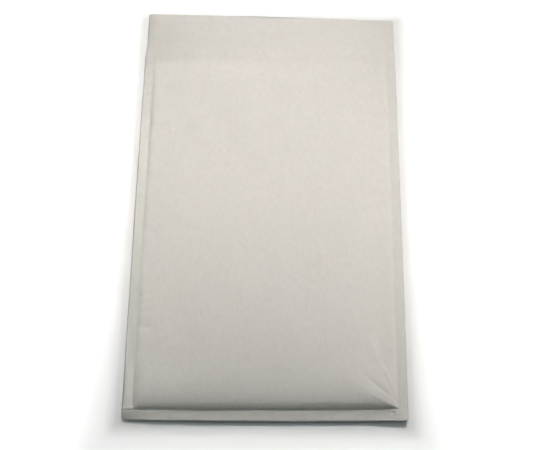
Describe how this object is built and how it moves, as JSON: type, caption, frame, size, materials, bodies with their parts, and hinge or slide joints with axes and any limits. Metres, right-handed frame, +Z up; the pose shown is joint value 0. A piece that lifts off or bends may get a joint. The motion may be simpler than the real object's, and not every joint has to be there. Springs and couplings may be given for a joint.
{
  "type": "cd mailing envelope",
  "caption": "Padded paper envelope for a compact disc, lying flat with its flap open: two panels lined with bubble film, sealed on three sides.",
  "frame": {"origin": "middle of the envelope's outline on the surface that it lies on", "axes": "+Y from the sealed bottom towards the open flap, +Z up, out of the address side, +X across it to the right"},
  "size_m": [0.19, 0.312, 0.0114],
  "materials": {
    "envelope_paper": "satin",
    "bubble_film": "gloss",
    "flap_adhesive": "gloss",
    "release_paper": "gloss"
  },
  "bodies": {
    "root": {"address_panel": "envelope_paper", "back_panel": "envelope_paper", "address_bubble_film": "bubble_film", "back_bubble_film": "bubble_film", "flap_glue": "flap_adhesive", "release_strip": "release_paper"}
  },
  "joints": []
}
